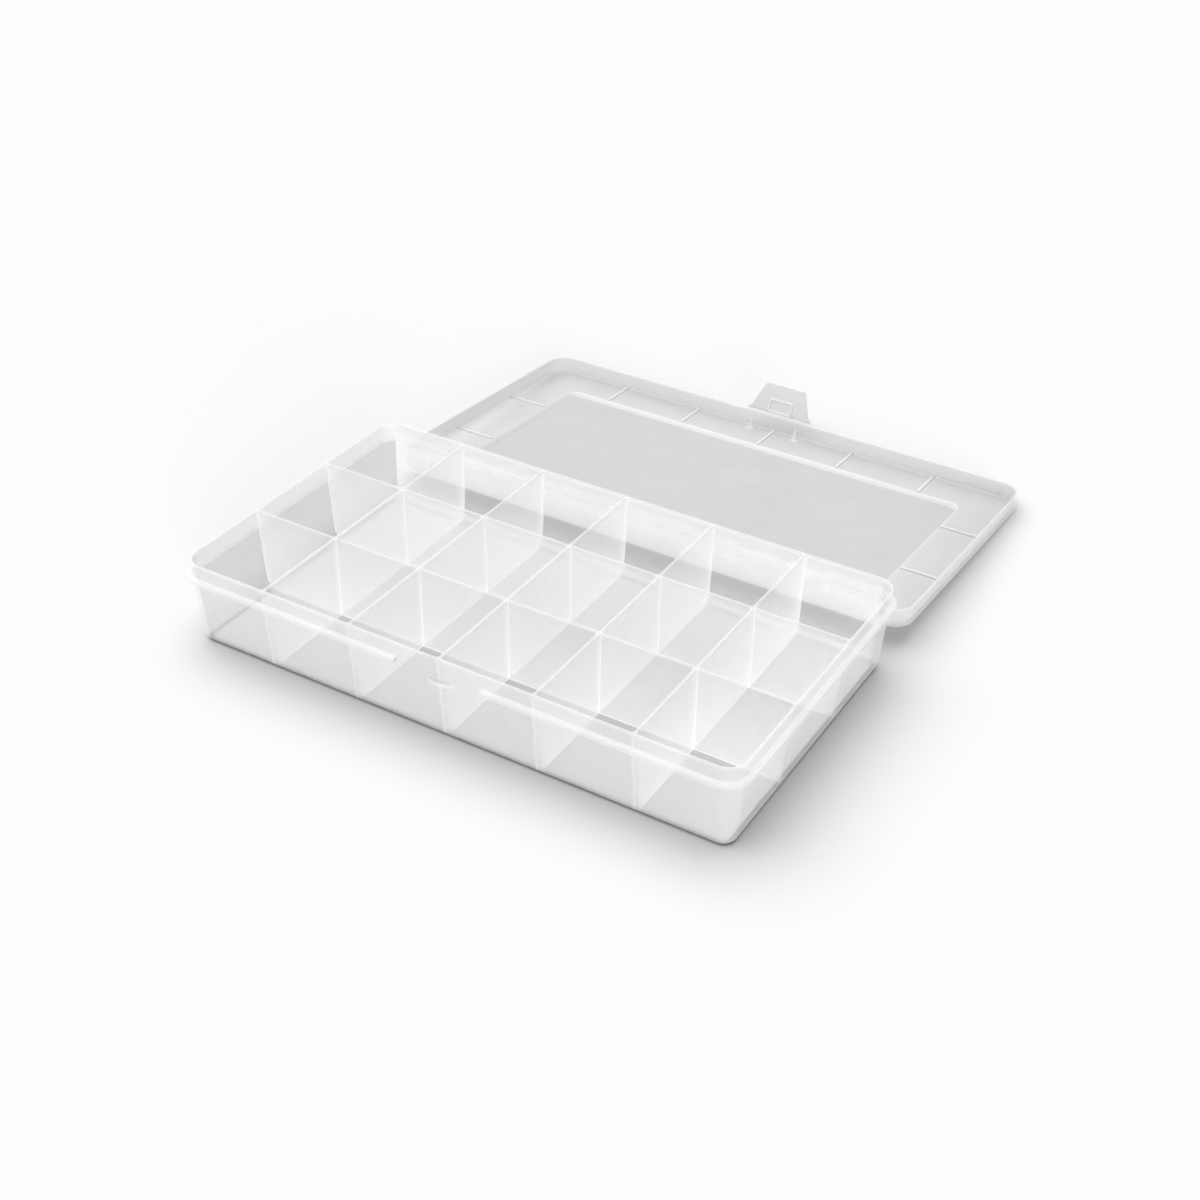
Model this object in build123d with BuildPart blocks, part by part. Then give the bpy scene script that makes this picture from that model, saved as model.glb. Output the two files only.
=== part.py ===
from build123d import *
from math import asin, atan2, cos, degrees, hypot, radians, sin, tan
import os

# A grid box for beads: a tray with fixed compartments, one lid hinged along the back, and a latch tongue
# on the lid's front edge. X runs along the box, Y from front to back and Z up. The origin is the centre
# of the tray's underside. The tray stands as in use and the lid lies open behind it, inside face up.
# Lid and latch are drawn in the place they have when shut, on frames that swing them open.

# ---- Tray, mm ----
columns = 6                   # compartments along X
rows = 3                      # compartments along Y
column_pitch = 38.0           # between the middles of neighbouring cross walls
row_pitch = 42.1              # between the middles of neighbouring long walls
compartment_depth = 33.5      # from the compartment floor to the rim
floor_thickness = 1.2
wall_thickness = 1.3          # outer walls
divider_thickness = 1.25      # walls between compartments
wall_draft = 4.45             # lean of the outer walls from upright, degrees
rim_corner_radius = 8.0       # vertical corners, measured at the rim
foot_edge_radius = 3.0        # outer edge between walls and underside
floor_edge_radius = 1.7       # inner edge between walls and compartment floor

# ---- Belt round the tray, which the lid's skirt comes down to ----
belt_drop = 5.6               # from the rim down to the belt
belt_height = 1.8
belt_reach = 1.75             # beyond the rim
belt_gap_half = 17.5          # half of the gap that the latch hangs in

# ---- Lid ----
lid_thickness = 1.2
skirt_thickness = 1.2
rim_gap = 0.25                # between the rim and the inside of the skirt
seat_gap = 0.3                # between the belt and the skirt above it
lid_edge_radius = 1.0         # outer edge of the lid
rib_height = 0.8
rib_width = 1.2
rib_gap = 0.3                 # between a rib and the tray wall under it
panel_inset = 18.2            # from the rim to the foot of the raised panel
panel_step_run = 2.0
panel_step_rise = 1.6
panel_corner_radius = 5.0
pip_offset = 10.9             # of each locating pip from the middle of the lid
pip_setback = 3.0             # from the rim to the middle of a pip
pip_base_radius = 1.75
pip_tip_radius = 0.6
pip_height = 4.2

# ---- Hinges ----
hinge_drop = 11.0             # from the rim down to the pin axis
hinge_reach = 3.65            # pin axis beyond the rim
hinge_offset = 66.5           # middle of each hinge from the middle of the box
hinge_half_span = 18.4        # half of the free length of a pin
hinge_pin_radius = 1.5
pin_running_gap = 0.06        # radial, between pin and knuckle
knuckle_radius = 3.0
knuckle_width = 11.4
knuckle_spacing = 15.0        # between the middles of the two knuckles on one pin
snap_mouth = 2.4              # slot that lets a knuckle clip over its pin
ear_radius = 3.1
ear_width = 2.2
table_gap = 0.1               # between the open lid's front edge and the surface under it

# ---- Latch ----
tongue_length = 13.1
tongue_thickness = 1.2
tongue_tip_half = 9.4         # half widths
tongue_root_half = 14.5
tongue_tip_radius = 1.2
tongue_splay = 22.0           # free angle that the tongue springs out to, degrees
web_half = 16.4               # flexible web between skirt and tongue
web_reach = 0.9
web_thickness = 0.5
web_gap = 0.35                # between web and tongue root
pocket_width = 9.4            # inside of the frame that snaps over the catch
pocket_height = 4.1
pocket_drop = 1.6             # from the web down to the pocket
frame_bar = 1.2
frame_height = 0.9
catch_width = 12.0
catch_reach = 2.3
catch_height = 1.6
catch_gap = 0.35              # between the catch and the frame's lower bar
catch_chamfer = 0.6

# ---- Derived sizes ----
rim_top = floor_thickness + compartment_depth
rim_half_length = columns * column_pitch / 2
rim_half_width = rows * row_pitch / 2
corner_zone = rim_corner_radius + 4.0          # stretch of each end wall that turns the corner
belt_top = rim_top - belt_drop
belt_bottom = belt_top - belt_height
skirt_bottom = belt_top + seat_gap
lid_inside = rim_top + rib_gap + rib_height    # inner face of the lid's border
lid_top = lid_inside + lid_thickness
lid_reach = rim_gap + skirt_thickness          # outer face of the skirt beyond the rim
skirt_front = -(rim_half_width + lid_reach)
hinge_y = rim_half_width + hinge_reach
hinge_height = rim_top - hinge_drop
panel_half_width = rim_half_width - panel_inset
panel_half_length = rim_half_length - panel_inset
latch_y = skirt_front - web_reach
latch_z = skirt_bottom


def wall_inset(height):
    """How far the leaning outer walls stand inside the rim's outline at a height."""
    return (rim_top - height) * tan(radians(wall_draft))


def fall_to_table(forward, above, edge_radius=0.0):
    """Lid tilt below level that brings an edge, placed from the pin when shut, down to the surface."""
    drop = hinge_height - table_gap - edge_radius
    arm = hypot(forward - edge_radius, above - edge_radius)
    return degrees(asin(drop / arm) - atan2(above - edge_radius, forward - edge_radius))


def swung(frame, pivot_y, pivot_z, turn):
    """A frame carried round a line along X through (pivot_y, pivot_z) of that frame, in degrees."""
    pivot = Location((0, pivot_y, pivot_z))
    return Plane(frame.location * pivot * Location((0, 0, 0), (turn, 0, 0)) * pivot.inverse())


def profile_plane(frame, x):
    """Plane across the box at x: its sketches take (y, z) of the frame and extrude along X."""
    return Plane(origin=frame.from_local_coords((x, 0, 0)), x_dir=frame.y_dir, z_dir=frame.x_dir)


def front_plane(frame, y):
    """Upright plane at y: its sketches take (x, z) of the frame and extrude forwards."""
    return Plane(origin=frame.from_local_coords((0, y, 0)), x_dir=frame.x_dir, z_dir=-frame.y_dir)


lid_tilt = min(
    fall_to_table(hinge_y - skirt_front, lid_top - hinge_height, lid_edge_radius),
    fall_to_table(hinge_y + panel_half_width - panel_step_run, lid_top + panel_step_rise - hinge_height),
)
lid_swing = 180 + lid_tilt                      # from lying open to shut
shut_frame = Plane.XY
lid_frame = swung(shut_frame, hinge_y, hinge_height, -lid_swing)
latch_frame = swung(lid_frame, latch_y, latch_z, -tongue_splay)
lid_up = Axis(lid_frame.origin, lid_frame.z_dir)
latch_up = Axis(latch_frame.origin, latch_frame.z_dir)

os.makedirs("parts", exist_ok=True)


def write(builder, name):
    builder.part.label = name
    export_step(builder.part, f"parts/{name}.step")


# ---- Tray shell: the solid outline, the hollow in it, and the skin between them ----
foot_plane = Plane.XY
floor_plane = Plane.XY.offset(floor_thickness)

with BuildPart() as tray_outline:
    with BuildSketch(foot_plane):
        foot_inset = wall_inset(0)
        RectangleRounded(
            2 * (rim_half_length - foot_inset),
            2 * (rim_half_width - foot_inset),
            rim_corner_radius - foot_inset,
        )
    extrude(amount=rim_top, taper=-wall_draft)
    fillet(tray_outline.edges().group_by(Axis.Z)[0], radius=foot_edge_radius)

with BuildPart() as tray_hollow:
    with BuildSketch(floor_plane):
        floor_inset = wall_inset(floor_thickness) + wall_thickness
        RectangleRounded(
            2 * (rim_half_length - floor_inset),
            2 * (rim_half_width - floor_inset),
            rim_corner_radius - floor_inset,
        )
    extrude(amount=compartment_depth, taper=-wall_draft)
    fillet(tray_hollow.edges().group_by(Axis.Z)[0], radius=floor_edge_radius)

with BuildPart() as tray_floor:
    add(tray_outline.part)
    split(bisect_by=floor_plane, keep=Keep.BOTTOM)
write(tray_floor, "tray_floor")

with BuildPart() as tray_walls:
    add(tray_outline.part)
    add(tray_hollow.part, mode=Mode.SUBTRACT)
    split(bisect_by=floor_plane, keep=Keep.TOP)

corner_x = rim_half_length - corner_zone
for name, side in (("tray_wall_left", -1), ("tray_wall_right", 1)):
    with BuildPart() as end_wall:
        add(tray_walls.part)
        split(bisect_by=Plane.YZ.offset(side * corner_x), keep=Keep.TOP if side > 0 else Keep.BOTTOM)
    write(end_wall, name)

for name, kept in (("tray_wall_front", Keep.BOTTOM), ("tray_wall_rear", Keep.TOP)):
    with BuildPart() as long_wall:
        add(tray_walls.part)
        split(bisect_by=Plane.YZ.offset(-corner_x), keep=Keep.TOP)
        split(bisect_by=Plane.YZ.offset(corner_x), keep=Keep.BOTTOM)
        split(bisect_by=Plane(origin=(0, 0, 0), z_dir=(0, 1, 0)), keep=kept)
    write(long_wall, name)

# ---- Dividers: long walls run the whole way, cross walls stand between them ----
row_lines = [(row - rows / 2) * row_pitch for row in range(1, rows)]
column_lines = [(column - columns / 2) * column_pitch for column in range(1, columns)]

for number, line_y in enumerate(row_lines, start=1):
    with BuildPart() as row_divider:
        with BuildSketch(floor_plane):
            with Locations((0, line_y)):
                Rectangle(2 * rim_half_length, divider_thickness)
        extrude(amount=compartment_depth)
        add(tray_hollow.part, mode=Mode.INTERSECT)
    write(row_divider, f"row_divider_{number}")

cell_edges = [-rim_half_width, *row_lines, rim_half_width]
for column, line_x in enumerate(column_lines, start=1):
    for row in range(rows):
        near = cell_edges[row] + (divider_thickness / 2 if row else 0)
        far = cell_edges[row + 1] - (divider_thickness / 2 if row < rows - 1 else 0)
        with BuildPart() as column_divider:
            with BuildSketch(floor_plane):
                with Locations((line_x, (near + far) / 2)):
                    Rectangle(divider_thickness, far - near)
            extrude(amount=compartment_depth)
            add(tray_hollow.part, mode=Mode.INTERSECT)
        write(column_divider, f"column_divider_{column}_row_{row + 1}")

# ---- Belt: a rib all round the walls, left out at the latch and at both hinges ----
with BuildPart() as belt_ring:
    with BuildSketch(Plane.XY.offset(belt_bottom)):
        RectangleRounded(
            2 * (rim_half_length + belt_reach),
            2 * (rim_half_width + belt_reach),
            rim_corner_radius + belt_reach,
        )
    extrude(amount=belt_height)
    add(tray_outline.part, mode=Mode.SUBTRACT)

for name, side in (("belt_left", -1), ("belt_right", 1)):
    with BuildPart() as belt_end:
        add(belt_ring.part)
        split(bisect_by=Plane.YZ.offset(side * corner_x), keep=Keep.TOP if side > 0 else Keep.BOTTOM)
    write(belt_end, name)

hinge_clear = hinge_half_span + ear_width
belt_runs = {
    "belt_front_left": (-corner_x, -belt_gap_half, -1),
    "belt_front_right": (belt_gap_half, corner_x, -1),
    "belt_rear_left": (-corner_x, -hinge_offset - hinge_clear, 1),
    "belt_rear_middle": (-hinge_offset + hinge_clear, hinge_offset - hinge_clear, 1),
    "belt_rear_right": (hinge_offset + hinge_clear, corner_x, 1),
}
for name, (start, end, side) in belt_runs.items():
    with BuildPart() as belt_run:
        with BuildSketch(Plane.XY.offset(belt_bottom)):
            with Locations(((start + end) / 2, side * (rim_half_width + belt_reach) / 2)):
                Rectangle(end - start, rim_half_width + belt_reach)
        extrude(amount=belt_height)
        add(belt_ring.part, mode=Mode.INTERSECT)
    write(belt_run, name)

# ---- Catch: a half-moon ledge on the front wall that the latch frame snaps under ----
pocket_top = latch_z - pocket_drop
catch_bottom = pocket_top - pocket_height + catch_gap
catch_wall_y = -(rim_half_width - wall_inset(catch_bottom))
catch_nose_radius = (catch_width**2 / 4 + catch_reach**2) / (2 * catch_reach)

with BuildPart() as latch_catch:
    with BuildSketch(Plane.XY.offset(catch_bottom)):
        with Locations((0, catch_wall_y - catch_reach + catch_nose_radius)):
            Circle(catch_nose_radius)
    extrude(amount=catch_height)
    chamfer(latch_catch.edges().group_by(Axis.Z)[-1], length=catch_chamfer)
    add(tray_outline.part, mode=Mode.SUBTRACT)
    with BuildSketch(Plane.XY.offset(catch_bottom)):
        with Locations((0, catch_wall_y - catch_width / 2)):
            Rectangle(catch_width, catch_width)
    extrude(amount=catch_height, mode=Mode.INTERSECT)
write(latch_catch, "latch_catch")

# ---- Hinges: a pin between two ears on the tray, and two clip-on knuckles on the lid ----
for side_name, side in (("left", -1), ("right", 1)):
    middle = side * hinge_offset
    for end_name, end in (("outer", side), ("inner", -side)):
        ear_middle = middle + end * (hinge_half_span + ear_width / 2)
        with BuildPart() as hinge_ear:
            with BuildSketch(profile_plane(shut_frame, ear_middle)):
                with Locations((hinge_y, hinge_height)):
                    Circle(ear_radius)
                root_depth = hinge_reach + belt_reach + wall_inset(hinge_height - ear_radius)
                ear_drop = belt_top - (hinge_height - ear_radius)
                with Locations((rim_half_width + belt_reach - root_depth / 2, belt_top - ear_drop / 2)):
                    Rectangle(root_depth, ear_drop)
                make_hull()
            extrude(amount=ear_width / 2, both=True)
            add(tray_outline.part, mode=Mode.SUBTRACT)
        write(hinge_ear, f"hinge_ear_{side_name}_{end_name}")

    with BuildPart() as hinge_pin:
        with BuildSketch(profile_plane(shut_frame, middle)):
            with Locations((hinge_y, hinge_height)):
                Circle(hinge_pin_radius)
        extrude(amount=hinge_half_span, both=True)
    write(hinge_pin, f"hinge_pin_{side_name}")

    for end_name, end in (("outer", side), ("inner", -side)):
        knuckle_middle = middle + end * knuckle_spacing / 2
        with BuildPart() as hinge_knuckle:
            with BuildSketch(profile_plane(lid_frame, knuckle_middle)):
                with Locations((hinge_y, hinge_height)):
                    Circle(knuckle_radius)
                with Locations((rim_half_width + rim_gap + skirt_thickness / 2, skirt_bottom)):
                    Rectangle(skirt_thickness, 0.02, align=(Align.CENTER, Align.MAX))
                make_hull()
                with Locations((hinge_y, hinge_height)):
                    Circle(hinge_pin_radius + pin_running_gap, mode=Mode.SUBTRACT)
                    Rectangle(
                        snap_mouth,
                        2 * knuckle_radius,
                        align=(Align.CENTER, Align.MAX),
                        mode=Mode.SUBTRACT,
                    )
            extrude(amount=knuckle_width / 2, both=True)
        write(hinge_knuckle, f"hinge_knuckle_{side_name}_{end_name}")

# ---- Lid panel: flat border with a shallow raised field, one even sheet ----
panel_taper = degrees(atan2(panel_step_run, panel_step_rise))

with BuildPart() as lid_panel:
    with BuildSketch(lid_frame.offset(lid_inside)):
        RectangleRounded(
            2 * (rim_half_length + lid_reach),
            2 * (rim_half_width + lid_reach),
            rim_corner_radius + lid_reach,
        )
    extrude(amount=lid_thickness)
    fillet(lid_panel.edges().group_by(lid_up)[-1], radius=lid_edge_radius)
    with BuildSketch(lid_frame.offset(lid_top)):
        RectangleRounded(2 * panel_half_length, 2 * panel_half_width, panel_corner_radius)
    extrude(amount=panel_step_rise, taper=panel_taper)
    with BuildSketch(lid_frame.offset(lid_inside)):
        RectangleRounded(2 * panel_half_length, 2 * panel_half_width, panel_corner_radius)
    extrude(amount=panel_step_rise, taper=panel_taper, mode=Mode.SUBTRACT)
write(lid_panel, "lid_panel")

# ---- Lid skirt: the rim round the lid's edge, in four runs ----
with BuildPart() as skirt_ring:
    with BuildSketch(lid_frame.offset(skirt_bottom)):
        RectangleRounded(
            2 * (rim_half_length + lid_reach),
            2 * (rim_half_width + lid_reach),
            rim_corner_radius + lid_reach,
        )
        RectangleRounded(
            2 * (rim_half_length + rim_gap),
            2 * (rim_half_width + rim_gap),
            rim_corner_radius + rim_gap,
            mode=Mode.SUBTRACT,
        )
    extrude(amount=lid_inside - skirt_bottom)

for name, side in (("lid_skirt_left", -1), ("lid_skirt_right", 1)):
    with BuildPart() as skirt_end:
        add(skirt_ring.part)
        split(bisect_by=Plane.YZ.offset(side * corner_x), keep=Keep.TOP if side > 0 else Keep.BOTTOM)
    write(skirt_end, name)

for name, kept in (("lid_skirt_front", Keep.BOTTOM), ("lid_skirt_rear", Keep.TOP)):
    with BuildPart() as skirt_run:
        add(skirt_ring.part)
        split(bisect_by=Plane.YZ.offset(-corner_x), keep=Keep.TOP)
        split(bisect_by=Plane.YZ.offset(corner_x), keep=Keep.BOTTOM)
        split(bisect_by=Plane(origin=lid_frame.origin, z_dir=lid_frame.y_dir), keep=kept)
    write(skirt_run, name)

# ---- Lid ribs: short bars on the border, each over the end of a tray divider ----
rib_length = panel_inset + rim_gap
rib_plane = lid_frame.offset(lid_inside - rib_height)
for name, side in (("lid_ribs_front", -1), ("lid_ribs_rear", 1)):
    with BuildPart() as cross_ribs:
        with BuildSketch(rib_plane):
            rib_middle = side * (rim_half_width + rim_gap - rib_length / 2)
            with Locations(*[(line_x, rib_middle) for line_x in column_lines]):
                Rectangle(rib_width, rib_length)
        extrude(amount=rib_height)
    write(cross_ribs, name)

for name, side in (("lid_ribs_left", -1), ("lid_ribs_right", 1)):
    with BuildPart() as end_ribs:
        with BuildSketch(rib_plane):
            rib_middle = side * (rim_half_length + rim_gap - rib_length / 2)
            with Locations(*[(rib_middle, line_y) for line_y in row_lines]):
                Rectangle(rib_length, rib_width)
        extrude(amount=rib_height)
    write(end_ribs, name)

# ---- Locating pips: cones inside the front wall, either side of the latch ----
for name, side in (("locating_pip_left", -1), ("locating_pip_right", 1)):
    with BuildPart() as locating_pip:
        with BuildSketch(lid_frame.offset(lid_inside)):
            with Locations((side * pip_offset, -rim_half_width + pip_setback)):
                Circle(pip_base_radius)
        extrude(amount=-pip_height, taper=degrees(atan2(pip_base_radius - pip_tip_radius, pip_height)))
    write(locating_pip, name)

# ---- Latch: a flexible web on the skirt, a tongue hung from it and a frame on the tongue ----
with BuildPart() as latch_web:
    with BuildSketch(lid_frame.offset(latch_z)):
        with Locations((0, skirt_front - web_reach / 2)):
            Rectangle(2 * web_half, web_reach)
    extrude(amount=web_thickness)
write(latch_web, "latch_web")

tongue_face = latch_y + tongue_thickness / 2     # inner face of the tongue when shut
with BuildPart() as latch_tongue:
    with BuildSketch(front_plane(latch_frame, tongue_face)):
        with BuildLine():
            Polyline(
                (-tongue_root_half, latch_z - web_gap),
                (-tongue_tip_half, latch_z - tongue_length),
                (tongue_tip_half, latch_z - tongue_length),
                (tongue_root_half, latch_z - web_gap),
                close=True,
            )
        make_face()
    extrude(amount=tongue_thickness)
    tip_corners = latch_tongue.edges().filter_by(Axis((0, 0, 0), latch_frame.y_dir)).group_by(latch_up)[0]
    fillet(tip_corners, radius=tongue_tip_radius)
write(latch_tongue, "latch_tongue")

with BuildPart() as pocket_frame:
    with BuildSketch(front_plane(latch_frame, tongue_face)):
        with Locations((0, pocket_top - pocket_height / 2)):
            Rectangle(pocket_width + 2 * frame_bar, pocket_height + 2 * frame_bar)
            Rectangle(pocket_width, pocket_height, mode=Mode.SUBTRACT)
    extrude(amount=-frame_height)
write(pocket_frame, "pocket_frame")

lid_pivot = (0, hinge_y, hinge_height)
latch_pivot = lid_frame.from_local_coords((0, latch_y, latch_z))
print("lid tilt", round(lid_tilt, 4), "lid swing", round(lid_swing, 4))
print("lid pivot", lid_pivot, "latch pivot", tuple(round(value, 4) for value in latch_pivot))
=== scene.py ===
from math import asin, atan2, cos, degrees, hypot, pi, radians, sin, tan

import bpy
import numpy as np
from mathutils import Matrix, Vector


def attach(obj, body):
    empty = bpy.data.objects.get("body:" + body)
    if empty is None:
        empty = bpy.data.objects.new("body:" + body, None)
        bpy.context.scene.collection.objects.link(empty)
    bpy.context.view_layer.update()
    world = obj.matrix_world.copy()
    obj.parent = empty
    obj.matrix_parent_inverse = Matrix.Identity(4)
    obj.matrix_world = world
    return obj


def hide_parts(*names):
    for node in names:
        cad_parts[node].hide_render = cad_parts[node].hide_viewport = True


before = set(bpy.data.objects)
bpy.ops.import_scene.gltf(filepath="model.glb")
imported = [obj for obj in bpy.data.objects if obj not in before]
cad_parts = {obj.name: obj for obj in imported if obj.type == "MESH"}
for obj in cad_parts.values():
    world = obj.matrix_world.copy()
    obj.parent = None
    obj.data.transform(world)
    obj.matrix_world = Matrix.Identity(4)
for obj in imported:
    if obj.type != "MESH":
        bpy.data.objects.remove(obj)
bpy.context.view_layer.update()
scene = bpy.context.scene

# ---- Camera -------------------------------------------------------------------------------------
# A table-top view from the front right corner of the box, 0.7 m away, with a lens of about 54 mm.
# It is turned about its own axis by less than a degree.
view_azimuth, view_elevation, view_roll = radians(30.5975), radians(34.304), radians(0.9049)
view_target, view_distance = Vector((0.002994, 0.038585, 0.0012)), 0.69573      # m
focal_length, frame_width, sensor_width = 1805.50, 1200, 36.0                   # pixels, pixels, mm

back = Vector((
    sin(view_azimuth) * cos(view_elevation),
    -cos(view_azimuth) * cos(view_elevation),
    sin(view_elevation),
))
level_right = Vector((0, 0, 1)).cross(back).normalized()
level_up = back.cross(level_right)
right = level_right * cos(view_roll) + level_up * sin(view_roll)
up = level_up * cos(view_roll) - level_right * sin(view_roll)
camera_data = bpy.data.cameras.new("table_camera")
camera_data.sensor_fit = "HORIZONTAL"
camera_data.sensor_width = sensor_width
camera_data.lens = focal_length / frame_width * sensor_width
camera = bpy.data.objects.new("table_camera", camera_data)
scene.collection.objects.link(camera)
camera.matrix_world = (
    Matrix.Translation(view_target + back * view_distance)
    @ Matrix((right, up, back)).transposed().to_4x4()
)
scene.camera = camera

# ---- Table and light ----------------------------------------------------------------------------
# A matt white table, one broad soft light almost overhead, a narrower one low in front, and an even
# white room. Together they light a level surface at a plain level.
table_white, table_half = 0.985, 4.0         # m
table_drop = 6e-5                            # m, so that the tray's underside is clear of the table
room_share, front_share = 0.16, 0.066        # of the light on a level surface
key_towards, key_spread = (-0.30, 0.06, 1), radians(84)
front_towards, front_spread = (0.90, -1, 0.24), radians(26)
sheets_in_line = 96                          # skins that one line of sight may pass through

table_corners = [
    (x * table_half, y * table_half, -table_drop) for x, y in ((-1, -1), (1, -1), (1, 1), (-1, 1))
]
table_mesh = bpy.data.meshes.new("table")
table_mesh.from_pydata(table_corners, [], [(0, 1, 2, 3)])
table = bpy.data.objects.new("table", table_mesh)
scene.collection.objects.link(table)
table_finish = bpy.data.materials.new("table_finish")
table_finish.use_nodes = True
table_shader = table_finish.node_tree.nodes["Principled BSDF"]
table_shader.inputs["Base Color"].default_value = (table_white, table_white, table_white, 1)
table_shader.inputs["Roughness"].default_value = 1.0
table_shader.inputs["Specular IOR Level"].default_value = 0.0
table_mesh.materials.append(table_finish)

for name, towards, spread, share in (
    ("key_light", key_towards, key_spread, 1 - room_share - front_share),
    ("front_light", front_towards, front_spread, front_share),
):
    lamp_data = bpy.data.lights.new(name, "SUN")
    lamp_data.angle = spread
    direction = Vector(towards).normalized()
    lamp_data.energy = pi * share / direction.z
    lamp = bpy.data.objects.new(name, lamp_data)
    scene.collection.objects.link(lamp)
    lamp.rotation_euler = direction.to_track_quat("Z", "Y").to_euler()


def add_node(tree, kind, inputs, operation=None, data_type=None):
    """A new node, its named or numbered inputs fed by sockets or set to plain values."""
    node = tree.nodes.new(kind)
    if operation:
        node.operation = operation
    if data_type:
        node.data_type = data_type
    for label, value in inputs.items():
        if isinstance(value, bpy.types.NodeSocket):
            tree.links.new(value, node.inputs[label])
        else:
            node.inputs[label].default_value = value
    return node


# The eye, a glint and a clear passage see a plain white room. Diffuse light gets the room's share.
room = bpy.data.worlds.new("room")
scene.world = room
room.use_nodes = True
room_tree = room.node_tree
room_tree.nodes.clear()
room_rays = room_tree.nodes.new("ShaderNodeLightPath")
seen = room_rays.outputs["Is Camera Ray"]
for kind in ("Is Glossy Ray", "Is Transmission Ray"):
    either = add_node(room_tree, "ShaderNodeMath", {0: seen, 1: room_rays.outputs[kind]}, "MAXIMUM")
    seen = either.outputs[0]
room_light, room_white = [
    add_node(room_tree, "ShaderNodeBackground", {"Color": (1, 1, 1, 1), "Strength": strength})
    for strength in (room_share, 1.0)
]
room_choice = add_node(
    room_tree, "ShaderNodeMixShader", {0: seen, 1: room_light.outputs[0], 2: room_white.outputs[0]}
)
add_node(room_tree, "ShaderNodeOutputWorld", {"Surface": room_choice.outputs[0]})
scene.view_settings.view_transform = "Standard"
scene.cycles.transparent_max_bounces = sheets_in_line

# ---- Tray shell ---------------------------------------------------------------------------------
# The tray's floor and outer walls: one injection moulding in unpigmented polypropylene, which is
# milky where it is thick and along every rounded edge. The walls lean out for release from the
# mould.
rim_half_x, rim_half_y, rim_height, rim_round = 114.0, 63.15, 34.7, 8.0     # mm, as all sizes below
wall_lean = tan(radians(4.45))
wall_thick, floor_thick = 1.3, 1.2
foot_round, floor_round, lip_round, lip_steps = 3.0, 3.4, 0.4, 4
belt_low, belt_high = 27.3, 29.1
pitch_x, pitch_y = 38.0, 42.1
column_places = np.arange(-2, 3) * pitch_x
row_places = np.array([-0.5, 0.5]) * pitch_y
sharp_angle, metre = radians(38), 1000


def outline(half_x, half_y, radius, arc_steps=12):
    """Rounded rectangle as corner centres, directions and radius, counter-clockwise.

    A point of the ring at an inset is its centre plus its direction times the radius less the
    inset. The centres stay at a corner along its arc and run straight along each side, with a few
    stops close together where a compartment wall stands behind."""
    reach = np.array([half_x - radius, half_y - radius])
    signs = np.array([(1, -1), (1, 1), (-1, 1), (-1, -1)], float)
    beside_wall, last_stop = np.array([-1.3, -0.5, 0, 0.5, 1.3]), 1 - 0.004
    stops = []
    for places, end in ((row_places, reach[1]), (column_places, reach[0])):
        at_walls = (places[:, None] + beside_wall).ravel() / end
        stops.append(np.sort([-last_stop, *at_walls, last_stop])[:, None] / 2 + 0.5)
    centres, directions = [], []
    for corner in range(4):
        turn = (corner - 1 + np.linspace(0, 1, arc_steps + 1)) * pi / 2
        quarter = np.stack((np.cos(turn), np.sin(turn)), 1)
        here, following = signs[corner] * reach, signs[(corner + 1) % 4] * reach
        along = stops[corner % 2]
        centres += [np.repeat(here[None], arc_steps + 1, 0), here + (following - here) * along]
        directions += [quarter, np.repeat(quarter[-1:], len(along), 0)]
    return np.concatenate(centres), np.concatenate(directions), radius


def carried(path, profile):
    """A profile of (outward, height) pairs carried round an outline: one ring for each pair.

    A point is a centre of the outline plus its direction times the sum of the radius and the pair's
    outward distance, at the pair's height."""
    centres, directions, radius = path
    plan = centres[None] + directions[None] * (radius + profile[:, 0])[:, None, None]
    return np.dstack((plan, np.broadcast_to(profile[:, 1, None], plan.shape[:2])))


def arc(centre, radius, start, end, steps=6):
    """Points of a circular arc in a profile, angles in degrees."""
    turn = np.radians(np.linspace(start, end, steps + 1))
    return np.stack((centre[0] + radius * np.cos(turn), centre[1] + radius * np.sin(turn)), 1)


def wall_face(height):
    """How far the outer wall's face stands inside the rim at a height: the drop times the lean."""
    return (rim_height - np.asarray(height, float)) * wall_lean


def soft_step(distance, width=0.12):
    """From 0 to 1 past a level: one over one plus the exponential of minus distance over width."""
    return 1 / (1 + np.exp(-distance / width))


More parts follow.
